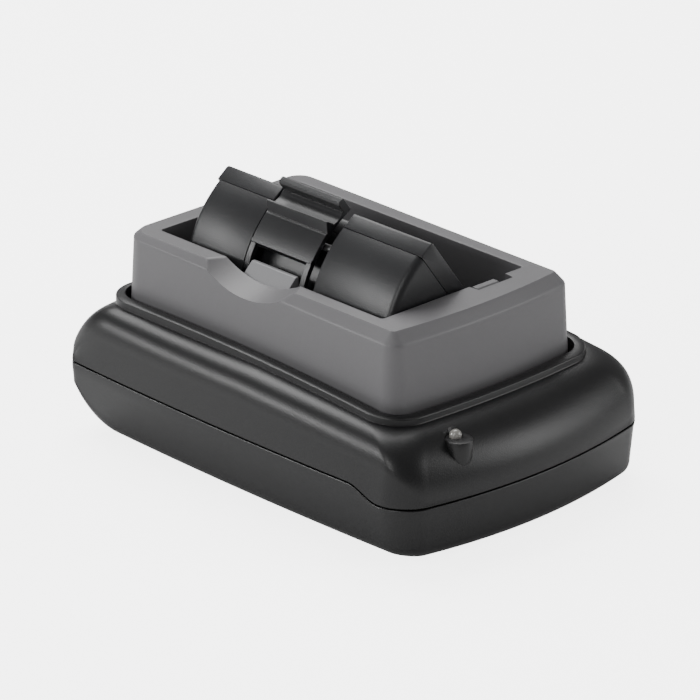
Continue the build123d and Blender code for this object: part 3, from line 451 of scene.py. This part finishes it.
def shoulder_level(turn):
    """Plan and height of the upper shell's shoulder at a turn from 0, upright, to 90 degrees, flat.
    Every plan value goes from the wall's to the lip's foot by one minus the cosine of the turn, and the
    height falls short of the roof by one minus its sine times the shoulder's height there."""
    share = 1.0 - math.cos(turn)

    def mix(first, second):
        return first + (second - first) * share

    plan = outline(
        mix(WALL_PLAN["half"] - SHOULDER_LEAN, LIP_FOOT["half"]),
        mix(WALL_PLAN["front"], LIP_FOOT["front"]),
        mix(WALL_PLAN["back"], LIP_FOOT["back"]),
        mix(WALL_PLAN["radius"] - SHOULDER_LEAN, LIP_FOOT["radius"]),
        mix(WALL_PLAN["radius_back"] - SHOULDER_LEAN, LIP_FOOT["radius_back"]),
        bow_side=mix(WALL_BOWS["bow_side"], 0.0),
        bow_front=mix(WALL_BOWS["bow_front"], LIP_FOOT["bow_front"]),
        bow_back=mix(WALL_BOWS["bow_back"], 0.0),
        **BASE_LOOP,
    )
    front, _, side = facing(plan)
    x, y = plan[:, 0], plan[:, 1]
    top = roof(x, y)
    rise = np.minimum(NOSE_RISE * front + SHOULDER_RISE * side, top - seam(y) - 1.6)
    return plan, top - rise * (1.0 - math.sin(turn))


def upper_shell():
    """Upper shell from the joint up the drafted wall, over the shoulder, up the lip and down its trough."""
    levels = []
    edge = wall_plan(0.0)
    joint = seam(edge[:, 1])
    for inset, lift in ((SHELL_WALL, 0.3), (0.4, 0.3), (0.12, 0.38), (0.0, 0.6)):
        levels.append(ring(wall_plan(inset), joint + lift))
    plan_top, z_top = shoulder_level(0.0)
    low = joint + 0.6
    for t in np.linspace(0.0, 1.0, 12)[1:-1]:
        plan = edge + (plan_top - edge) * t
        levels.append(ring(plan, low + (z_top - low) * t))
    for turn in np.linspace(0.0, math.pi / 2, 26):
        levels.append(ring(*shoulder_level(turn)))
    for reach, lift in ((6.35, 0.12), (6.22, 0.45)):
        plan = outline(**lip_plan(reach), **BASE_LOOP)
        levels.append(ring(plan, roof(plan[:, 0], plan[:, 1]) + lift))
    for reach, lift in ((6.15, 2.2), (6.0, 2.45), (5.7, 2.6), (2.5, 2.6), (2.15, 2.5), (2.0, 2.2)):
        plan = outline(**lip_plan(reach), **BASE_LOOP)
        levels.append(ring(plan, arch(plan[:, 1]) + lift))
    under = CRADLE_BASE - 2.5
    for reach, z in ((LIP_GAP, CRADLE_BASE), (-3.0, CRADLE_BASE), (-3.0, under), (4.0, under)):
        levels.append(ring(outline(**lip_plan(reach), **BASE_LOOP), z))
    inner = wall_plan(6.0)
    levels.append(ring(inner, np.minimum(roof(inner[:, 0], inner[:, 1]) - 14.0, 38.0)))
    levels.append(ring(wall_plan(SHELL_WALL), joint + 0.3))
    levels = np.array(levels)
    away = np.hypot(levels[..., 0] - TURRET[0], levels[..., 1] - TURRET[1])
    recess = (away < TURRET_RADIUS + 0.5) & (levels[..., 2] > LEDGE_Z - 0.3)
    levels[..., 2] = np.where(recess, LEDGE_Z - 0.3, levels[..., 2])
    return loft(list(levels))


def turret():
    """Nose under the lamp: circles of the turret's radius, closing to a point below, with a flat ledge."""
    angle = np.linspace(0.0, 2 * math.pi, 96, endpoint=False)
    circle = np.stack([np.cos(angle), np.sin(angle)], 1)
    nose = [(0.4, 29.0), (2.6, 31.0), (4.0, 33.5), (4.7, 36.5), (5.0, 40.0), (5.0, 43.5), (4.9, 43.7)]
    ledge = [(4.7, LEDGE_Z), (3.0, LEDGE_Z), (2.75, 43.75), (2.6, 43.5), (2.6, 42.0)]
    levels = [ring(circle * r + np.array(TURRET), z) for r, z in nose]
    levels += [ring(circle * r + np.array(blend_centre(r)), z) for r, z in ledge]
    return loft(levels, start_pole=(*TURRET, 28.5), end_pole=(*LAMP, 42.0))


def blend_centre(r):
    """Centre of a circle of radius r on the ledge: the turret's at its edge, the lamp's at the hole."""
    t = min(max((TURRET_RADIUS - r) / (TURRET_RADIUS - 3.0), 0.0), 1.0)
    return [TURRET[k] + (LAMP[k] - TURRET[k]) * t for k in (0, 1)]


def lower_shell():
    """Lower shell from the joint down: drafted wall, rounded bottom edge, long curve up to the back."""
    levels = []
    edge = wall_plan(0.0)
    joint = seam(edge[:, 1])
    for inset, drop in ((SHELL_WALL, 0.3), (0.4, 0.3), (0.12, 0.38), (0.0, 0.6)):
        levels.append(ring(wall_plan(inset), joint - drop))
    front, back, side = facing(edge)
    flank = side + front
    start = joint - 0.6
    wall_foot = np.minimum(underside(edge[:, 0], edge[:, 1]) + 5.0 * flank, start - 0.5)
    for t in np.linspace(0.0, 1.0, 10)[1:]:
        z = start + (wall_foot - start) * t
        draft = (WIDEST_Z - z) * LOWER_DRAFT
        shift = np.clip(draft, 0.0, 4.0)
        levels.append(shrink(edge, shift * (side + 0.3 * front), z))
    base = levels[-1]
    for turn in np.linspace(0.0, math.pi / 2, 18)[1:]:
        lean = 1.0 - math.cos(turn)
        reach = (5.0 * side + 4.0 * front + SWEEP_LENGTH * back) * lean
        level = shrink(base[:, :2], reach, wall_foot)
        low = underside(level[:, 0], level[:, 1])
        level[:, 2] = low + np.maximum(wall_foot - low, 0.0) * flank * (1.0 - math.sin(turn))
        levels.append(level)
    last = levels[-1][:, :2]
    middle = np.array([0.0, -5.0])
    for t in np.linspace(0.0, 1.0, 8)[1:-1]:
        plan = last + (middle - last) * t
        levels.append(ring(plan, underside(plan[:, 0], plan[:, 1])))
    return loft(levels, start_pole=(0.0, -5.0, 26.0), end_pole=(0.0, -5.0, FLOOR_Z))


def shrink(plan, reach, z):
    """Plan loop drawn in towards the base's middle by reach, more where the corner is tight."""
    x, y = plan[:, 0], plan[:, 1]
    front, back, side = facing(plan)
    away = np.stack([np.sign(x) * np.sqrt(side), np.sign(y) * np.sqrt(front + back)], 1)
    moved = plan - away * np.asarray(reach)[:, None]
    return ring(moved, z)


SHELL_SHARP = 28.0
piece(
    "upper_shell", [upper_shell(), turret()], "dock", BLACK_SHELL,
    sharp=SHELL_SHARP, replaces=["base_upper_shell"],
)
LOWER = piece(
    "lower_shell", [lower_shell()], "dock", BLACK_SHELL,
    sharp=SHELL_SHARP, replaces=["base_lower_shell"],
)


def cut(obj, parts):
    """Cut closed (vertices, faces) pairs, in millimetres, out of a piece."""
    tool, _ = mesh_object("cutter", parts)
    step = obj.modifiers.new("cut", "BOOLEAN")
    step.operation = "DIFFERENCE"
    step.solver = "EXACT"
    step.object = tool
    bpy.context.view_layer.update()
    shaped = bpy.data.meshes.new_from_object(obj.evaluated_get(bpy.context.evaluated_depsgraph_get()))
    obj.modifiers.remove(step)
    obj.data = shaped
    bpy.data.objects.remove(tool)
    shaped.shade_smooth()
    shaped.set_sharp_from_angle(angle=math.radians(SHELL_SHARP))


def well(x, y):
    """Screw well: two equal circles about (x, y), from below the floor up past the screw head's top."""
    angle = np.linspace(0.0, 2 * math.pi, 40, endpoint=False)
    circle = np.stack([np.cos(angle), np.sin(angle)], 1)
    levels = [ring(circle * 3.1 + np.array([x, y]), z) for z in (-3.0, 5.6)]
    return loft(levels, start_pole=(x, y, -3.0), end_pole=(x, y, 5.6))


INLET = [(20.7, 15.6), (31.3, 15.6), (31.3, 26.2), (20.7, 26.2)]
SCREWS = [(sx * 55.0, sy * 44.0) for sx in (-1, 1) for sy in (-1, 1)]
cut(LOWER, [bar(INLET, (78.0, 99.0))] + [well(*spot) for spot in SCREWS])

# ---------------------------------------------------------------- cradle
CRADLE_LOOP = dict(sides=260, ends=140, turn=16)
SCOOP_RADIUS = 42.5
SCOOP_DEPTH = 5.0
SCOOP_FALL = math.tan(math.radians(18.0))
NOTCH = (8.5, 26.5)
SNAP_X = (9.5, 20.5)
NOTCH_DEPTH = 4.4
# the sloping band round the rim: shares of its width inwards and of its drop below the rim
BAND = ((0.06, 0.86), (0.16, 0.76), (0.35, 0.58), (0.6, 0.34), (0.82, 0.14), (0.92, 0.05), (1.0, 0.0))


def scoop_height(x, y):
    """Height of the finger scoop: a circle across Y whose lowest line falls outwards."""
    across = np.clip(np.abs(y - LATCH_Y), 0.0, SCOOP_RADIUS - 1.0)
    floor = RIM_Z - SCOOP_DEPTH - (-POCKET_HALF - x) * SCOOP_FALL
    return floor + SCOOP_RADIUS - np.sqrt(SCOOP_RADIUS ** 2 - across ** 2)


def scooped(level):
    """The level with its points in the scoop lowered on to it."""
    level = level.copy()
    x, y, z = level.T
    inside = (x < -POCKET_HALF + 1.0) & (x > -60.0)
    level[:, 2] = np.where(inside, np.minimum(z, scoop_height(x, y)), z)
    return level


def pocket(inset, z, notched=True):
    """Level of the pocket's wall, with its two snap notches, drawn in by inset."""
    plan = outline(
        POCKET_HALF - inset, POCKET_FRONT + inset, POCKET_BACK - inset, max(1.2 - inset, 0.4), **CRADLE_LOOP
    )
    if notched:
        x, y = plan[:, 0], plan[:, 1]
        within = (x > NOTCH[0] + inset) & (x < NOTCH[1] - inset)
        y = np.where(within & (y < POCKET_FRONT + inset + 0.01), y - NOTCH_DEPTH, y)
        y = np.where(within & (y > POCKET_BACK - inset - 0.01), y + NOTCH_DEPTH, y)
        plan = np.stack([x, y], 1)
    return ring(plan, z)


def cradle_shell():
    """Cradle: drafted wall, sloping shoulder that deepens to the front, flat rim, pocket walls and floor."""
    levels = []
    for reach, z in ((-2.4, 60.0), (-2.4, CRADLE_BASE), (-0.3, CRADLE_BASE), (0.0, CRADLE_BASE + 0.3)):
        levels.append(ring(outline(**grow(CRADLE_FOOT, reach), **CRADLE_LOOP), z))
    foot = outline(**CRADLE_FOOT, **CRADLE_LOOP)
    front_share = smooth((75.0 - foot[:, 1]) / 140.0)
    drop = 2.6 + 2.2 * front_share
    width = 2.8 + 1.2 * front_share
    for t in np.linspace(0.0, 1.0, 24)[1:]:
        z = CRADLE_BASE + 0.3 + (RIM_Z - drop - CRADLE_BASE - 0.3) * t
        draft = (z - CRADLE_BASE) * CRADLE_DRAFT
        levels.append(scooped(cradle_inset(draft, z)))
    draft = (RIM_Z - drop - CRADLE_BASE) * CRADLE_DRAFT
    for out, down in BAND:
        levels.append(scooped(cradle_inset(draft + width * out, RIM_Z - drop * down)))
    rim = levels[-1][:, :2]
    inner = pocket(-0.45, RIM_Z)
    for t in np.linspace(0.0, 1.0, 8)[1:]:
        plan = rim + (inner[:, :2] - rim) * t
        levels.append(scooped(ring(plan, RIM_Z)))
    for inset, down in ((-0.25, 0.05), (-0.08, 0.2), (0.0, 0.45), (0.0, 3.0)):
        level = scooped(pocket(inset, RIM_Z))
        level[:, 2] -= down
        levels.append(level)
    levels.append(pocket(0.0, 66.0))
    levels.append(pocket(0.0, 53.5))
    levels.append(pocket(0.0, 53.5, notched=False))
    levels.append(pocket(0.0, POCKET_FLOOR + 1.0, notched=False))
    levels.append(pocket(1.0, POCKET_FLOOR, notched=False))
    return loft(levels, end_pole=(0.0, 9.5, POCKET_FLOOR))


def cradle_inset(inset, z):
    """Level of the cradle's outer wall, drawn in by inset, a value per point."""
    foot = outline(**CRADLE_FOOT, **CRADLE_LOOP)
    small = outline(**grow(CRADLE_FOOT, -6.0), **CRADLE_LOOP)
    return ring(foot + (small - foot) * (np.asarray(inset) / 6.0)[:, None], z)


piece("cradle_shell", [cradle_shell()], "dock", GREY_CRADLE, sharp=24, replaces=["cradle"])


def snap_arm(name, wall_y, outward_sign, body, node):
    """Snap arm: its side profile carried across the notch."""
    near = wall_y + outward_sign * 0.3
    blade = near + outward_sign * 1.8
    head = near + outward_sign * 3.1
    profile = [
        (near, 57.0), (blade, 57.0), (blade, 75.0), (head, 76.5),
        (head, 78.7), (head - outward_sign * 0.5, 79.2), (near, 79.2),
    ]
    return piece(
        name, [bar(profile, SNAP_X, "x")], body, GREY_CRADLE, bevel=0.25, replaces=[node]
    )


snap_arm("front_snap", POCKET_FRONT, -1, "front_snap", "front_snap_arm")
snap_arm("rear_snap", POCKET_BACK, 1, "rear_snap", "rear_snap_arm")

KEEPER = [(-36.0, 66.5), (-33.0, 67.5), (-29.4, 74.5), (-29.4, 78.9), (-31.0, 78.9), (-36.0, 73.9)]
piece(
    "keeper", [bar(KEEPER, (LATCH_Y - 12.0, LATCH_Y + 12.0))], "dock", LIGHT_GREY,
    bevel=0.3, replaces=["latch_keeper"],
)

# ---------------------------------------------------------------- battery pack
LATCH_WIDTH = 32.5
LATCH_PROUD = 0.15
LATCH_THICK = 2.0
LEG_WIDTH = 2.6
CHANNEL_DEEP = 7.5
PACK_FOOT_Z = 43.0
BACK_LENGTH = 52.0


def pack_xz(u, v):
    """XZ of points given down the flat back, u, and out from it, v."""
    u, v = np.asarray(u, float), np.asarray(v, float)
    x = APEX[0] + u * math.sin(TILT) - v * math.cos(TILT)
    z = APEX[1] - u * math.cos(TILT) - v * math.sin(TILT)
    return np.stack([x, z], -1)


def arc_uv(radius, first, last, count):
    """Points on a circle about the curved face's axis between two distances from the back face."""
    v = np.linspace(math.asin((first - COVER) / radius), math.asin((last - COVER) / radius), count)
    return np.stack([CURVE - radius * np.cos(v), COVER + radius * np.sin(v)], 1)


def pack_stations():
    """Places along the pack where its section changes, with the depth below the full curve at each."""
    r = 3.0
    turn = np.linspace(0.0, math.pi / 2, 9)
    ease = r * (1.0 - np.sin(turn))
    front = [(PACK_FRONT + r * (1 - math.cos(a)), d) for a, d in zip(turn, ease)]
    start, end = CHANNEL
    middle = [
        (start - 0.35, 0.0), (start - 0.1, 0.1), (start, 0.35), (start, CHANNEL_DEEP),
        (end, CHANNEL_DEEP), (end, 0.35), (end + 0.1, 0.1), (end + 0.35, 0.0),
    ]
    back = [(PACK_BACK - (y - PACK_FRONT), d) for y, d in front][::-1]
    return front + middle + back


def housing_level(y, depth):
    """Section of the housing at y: the curve less depth, the foot, the heel and the flat under the cover."""
    radius = CURVE - depth
    last = COVER + radius * 0.985
    curve = arc_uv(radius, COVER + 0.25, last, 90)
    xz = pack_xz(curve[:, 0], curve[:, 1])
    xz[:, 1] = np.maximum(xz[:, 1], PACK_FOOT_Z)
    foot = np.array([[-1.34, PACK_FOOT_Z]])
    heel = pack_xz([BACK_LENGTH], [COVER + 0.25])
    section = np.concatenate([xz, foot, heel])
    return np.column_stack([section[:, 0], np.full(len(section), y), section[:, 1]])


def housing():
    """Housing: its section carried along the pack, rounded at both ends and sunk for the latch's channel."""
    levels = [housing_level(y, depth) for y, depth in pack_stations()]
    middle = levels[0].mean(0)
    return loft(levels, start_pole=middle, end_pole=(middle[0], PACK_BACK, middle[2]))


def cover_level(y, depth, ease):
    """Section of the back cover at y, its top edge lowered by depth and its corners drawn in by ease."""
    r = 1.2
    top = depth + ease
    turn = np.linspace(0, math.pi / 2, 7)
    corner = [(top + r * (1 - math.sin(a)), ease + r * (1 - math.cos(a))) for a in turn]
    uv = [(top + 0.25, COVER - 0.02), (top + 0.06, COVER - 0.2), (top, COVER - 0.5)] + corner[::-1]
    uv += [(BACK_LENGTH - ease, ease), (BACK_LENGTH - ease, COVER - 0.02)]
    uv = np.array(uv)
    xz = pack_xz(uv[:, 0], uv[:, 1])
    return np.column_stack([xz[:, 0], np.full(len(xz), y), xz[:, 1]])


def cover():
    """Back cover: a rounded plate section carried along the pack, cut down behind the latch."""
    start, end = CHANNEL
    places = [
        (PACK_FRONT, 0.0, 0.6), (PACK_FRONT + 0.2, 0.0, 0.2), (PACK_FRONT + 0.6, 0.0, 0.0),
        (start - 0.3, 0.0, 0.0), (start, 0.0, 0.25), (start, CHANNEL_DEEP, 0.25), (end, CHANNEL_DEEP, 0.25),
        (end, 0.0, 0.25), (end + 0.3, 0.0, 0.0),
        (PACK_BACK - 0.6, 0.0, 0.0), (PACK_BACK - 0.2, 0.0, 0.2), (PACK_BACK, 0.0, 0.6),
    ]
    levels = [cover_level(*place) for place in places]
    first, last = levels[0].mean(0), levels[-1].mean(0)
    return loft(levels, start_pole=first, end_pole=last)


piece("pack_shell", [housing()], "pack", PACK_BLACK, sharp=30, replaces=["pack_housing"])
piece("pack_back", [cover()], "pack", PACK_BLACK, sharp=30, replaces=["pack_cover"])


def latch_radii():
    """Outer and inner radius of the latch's curved plate."""
    return CURVE + LATCH_PROUD, CURVE + LATCH_PROUD - LATCH_THICK


def latch_profile():
    """Closed side profile of the latch in (u, v): press bar, hollow plate, finger rib, curved face, back."""
    outer, inner = latch_radii()
    bar_part = [(2.2, -1.8), (-4.0, -1.8), (-4.6, -1.2), (-4.6, 0.5), (-3.7, 1.4), (0.2, 1.5)]
    v = np.linspace(2.0, 7.4, 9)
    hollow = [(0.15 + 0.5 * math.sin(math.pi * (k - 2.0) / 5.4), k) for k in v]
    rib = [(-3.3, 8.8), (-3.5, 9.1), (-3.4, 9.5), (0.3, 11.8)]
    face = arc_uv(outer, 12.2, 24.4, 16).tolist()
    under = arc_uv(inner, 24.0, 7.0, 24).tolist()
    return np.array(bar_part + hollow + rib + face + under + [(1.8, 5.0), (2.0, 1.0)])


def latch():
    """Release latch: the side profile carried across its width, its bent edge, two legs and two lugs."""
    start, end = LATCH_Y - LATCH_WIDTH / 2, LATCH_Y + LATCH_WIDTH / 2
    outer, inner = latch_radii()
    profile = latch_profile()
    parts = [bar(pack_xz(profile[:, 0], profile[:, 1]), np.linspace(start, end, 3))]
    rim = np.concatenate([arc_uv(CURVE + 0.5, 22.9, 24.4, 4), arc_uv(inner, 24.4, 22.9, 4)])
    parts.append(bar(pack_xz(rim[:, 0], rim[:, 1]), (start, end)))
    leg = np.concatenate([arc_uv(outer, 23.6, 33.4, 12), arc_uv(inner, 33.4, 23.6, 12)])
    for leg_start in (start, end - LEG_WIDTH):
        parts.append(bar(pack_xz(leg[:, 0], leg[:, 1]), (leg_start, leg_start + LEG_WIDTH)))
    angle = np.linspace(0.0, math.pi, 13)
    lug = [(1.8, 12.4)] + [(5.1 + 2.6 * math.sin(a), 15.0 - 2.6 * math.cos(a)) for a in angle] + [(1.8, 17.6)]
    lug = np.array(lug)
    for lug_start in (start + 4.0, end - 7.0):
        parts.append(bar(pack_xz(lug[:, 0], lug[:, 1]), (lug_start, lug_start + 3.0)))
    return parts


piece(
    "latch", latch(), "latch", LATCH_BLACK,
    sharp=30, bevel=0.22, replaces=["release_latch"],
)

# ---------------------------------------------------------------- lamp and feet


def turned(profile, centre, count=64):
    """Vertices and faces of a profile of (radius, height) points turned about a vertical axis."""
    angle = np.linspace(0.0, 2 * math.pi, count, endpoint=False)
    circle = np.stack([np.cos(angle), np.sin(angle)], 1)
    levels = [ring(circle * r + np.array(centre), z) for r, z in profile]
    first, last = profile[0], profile[-1]
    return loft(levels, start_pole=(*centre, first[1]), end_pole=(*centre, last[1]))


DOME = [(2.3, 42.4), (2.35, 43.9)] + [
    (2.35 * math.cos(a), 44.1 + 2.35 * math.sin(a)) for a in np.linspace(0.0, 1.5, 14)
]
piece("indicator_lamp", [turned(DOME, LAMP)], "dock", LENS, replaces=["status_lamp"])


def foot_profile():
    """Foot: a squat disc with rounded lower edge and a moulded ring underneath."""
    return [(0.5, 0.6), (3.0, 0.6), (3.4, 0.0), (5.0, 0.0), (5.6, 0.25), (6.0, 0.9), (6.0, 3.5), (0.5, 3.5)]


FEET = [(sx * 44.0, sy * 62.0 - 6.0) for sx in (-1, 1) for sy in (-1, 1)]
piece(
    "feet", [turned(foot_profile(), spot) for spot in FEET], "dock", RUBBER,
    replaces=["rubber_feet"],
)

# ---------------------------------------------------------------- finishes of the pieces kept from the CAD
KEPT = {
    BLACK_SHELL: ["contact_block", "inlet_socket"],
    GREY_CRADLE: ["pack_rest"],
    GOLD: ["contact_plungers", "contact_leads", "contact_pads"],
    SPRING: ["contact_springs", "latch_spring"],
    STEEL: ["shell_screws", "board_screws", "inlet_pin", "pack_screws", "latch_pin"],
    BOARD: ["charger_board", "protection_board", "contact_strip"],
    CHIP: ["controller_chip", "protection_chips"],
    IRON: ["transformer_core"],
    COPPER: ["transformer_winding"],
    SLEEVE: ["filter_capacitors"],
    ALUMINIUM: ["heat_sink"],
    NATURAL: ["lamp_holder", "cell_holders"],
    CELL: ["cells"],
    NICKEL: ["cell_straps"],
}
for material, names in KEPT.items():
    for name in names:
        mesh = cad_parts[name].data
        mesh.materials.clear()
        mesh.materials.append(material)
for name, material in (
    ("base_upper_shell", BLACK_SHELL), ("base_lower_shell", BLACK_SHELL), ("cradle", GREY_CRADLE),
    ("front_snap_arm", GREY_CRADLE), ("rear_snap_arm", GREY_CRADLE), ("latch_keeper", LIGHT_GREY),
    ("pack_housing", PACK_BLACK), ("pack_cover", PACK_BLACK), ("release_latch", LATCH_BLACK),
    ("status_lamp", LENS), ("rubber_feet", RUBBER),
):
    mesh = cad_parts[name].data
    mesh.materials.clear()
    mesh.materials.append(material)

# ---------------------------------------------------------------- stage, light and camera


def stage_floor():
    """A large pale flat floor that glows evenly, for camera rays only."""
    material = bpy.data.materials.new("studio_floor")
    material.use_nodes = True
    shader = material.node_tree.nodes["Principled BSDF"]
    shader.inputs["Base Color"].default_value = (0.90, 0.90, 0.90, 1.0)
    shader.inputs["Roughness"].default_value = 0.9
    shader.inputs["Emission Color"].default_value = (1.0, 1.0, 1.0, 1.0)
    path = material.node_tree.nodes.new("ShaderNodeLightPath")
    glow = math_node(material.node_tree, "MULTIPLY", path.outputs["Is Camera Ray"], 4.0)
    material.node_tree.links.new(glow, shader.inputs["Emission Strength"])
    mesh = bpy.data.meshes.new("floor")
    mesh.from_pydata([(-4, -4, 0), (4, -4, 0), (4, 4, 0), (-4, 4, 0)], [], [(0, 1, 2, 3)])
    floor = bpy.data.objects.new("floor", mesh)
    mesh.materials.append(material)
    bpy.context.scene.collection.objects.link(floor)


def softbox(name, place, target, size, power):
    """A rectangular area light at place, turned towards target."""
    light = bpy.data.lights.new(name, "AREA")
    light.shape = "RECTANGLE"
    light.size, light.size_y = size
    light.energy = power
    lamp = bpy.data.objects.new(name, light)
    lamp.location = place
    lamp.rotation_euler = (Vector(target) - Vector(place)).to_track_quat("-Z", "Y").to_euler()
    bpy.context.scene.collection.objects.link(lamp)


stage_floor()
AIM = (-0.00177, 0.00222, 0.0409)
softbox("top_box", (0.35, 0.75, 1.3), AIM, (1.2, 1.0), 30.0)
softbox("right_box", (0.9, -1.0, 0.55), AIM, (0.6, 0.7), 7.0)
softbox("left_box", (-1.2, -0.3, 0.75), AIM, (0.4, 0.8), 6.0)
softbox("shoulder_strip", (-1.0, 0.75, 0.5), AIM, (0.8, 0.12), 9.0)

world = bpy.data.worlds.new("studio")
bpy.context.scene.world = world
world.use_nodes = True
world.node_tree.nodes["Background"].inputs["Color"].default_value = (1.0, 1.0, 1.0, 1.0)
world.node_tree.nodes["Background"].inputs["Strength"].default_value = 0.28

camera_data = bpy.data.cameras.new("camera")
camera_data.lens = 257.1
camera_data.sensor_width = 36.0
camera_data.clip_end = 20.0
camera = bpy.data.objects.new("camera", camera_data)
away = Vector((-0.636, -0.665, 0.392)).normalized()
camera.location = Vector(AIM) + away * 1.875
camera.rotation_euler = (-away).to_track_quat("-Z", "Y").to_euler()
bpy.context.scene.collection.objects.link(camera)
bpy.context.scene.camera = camera

bpy.context.view_layer.update()
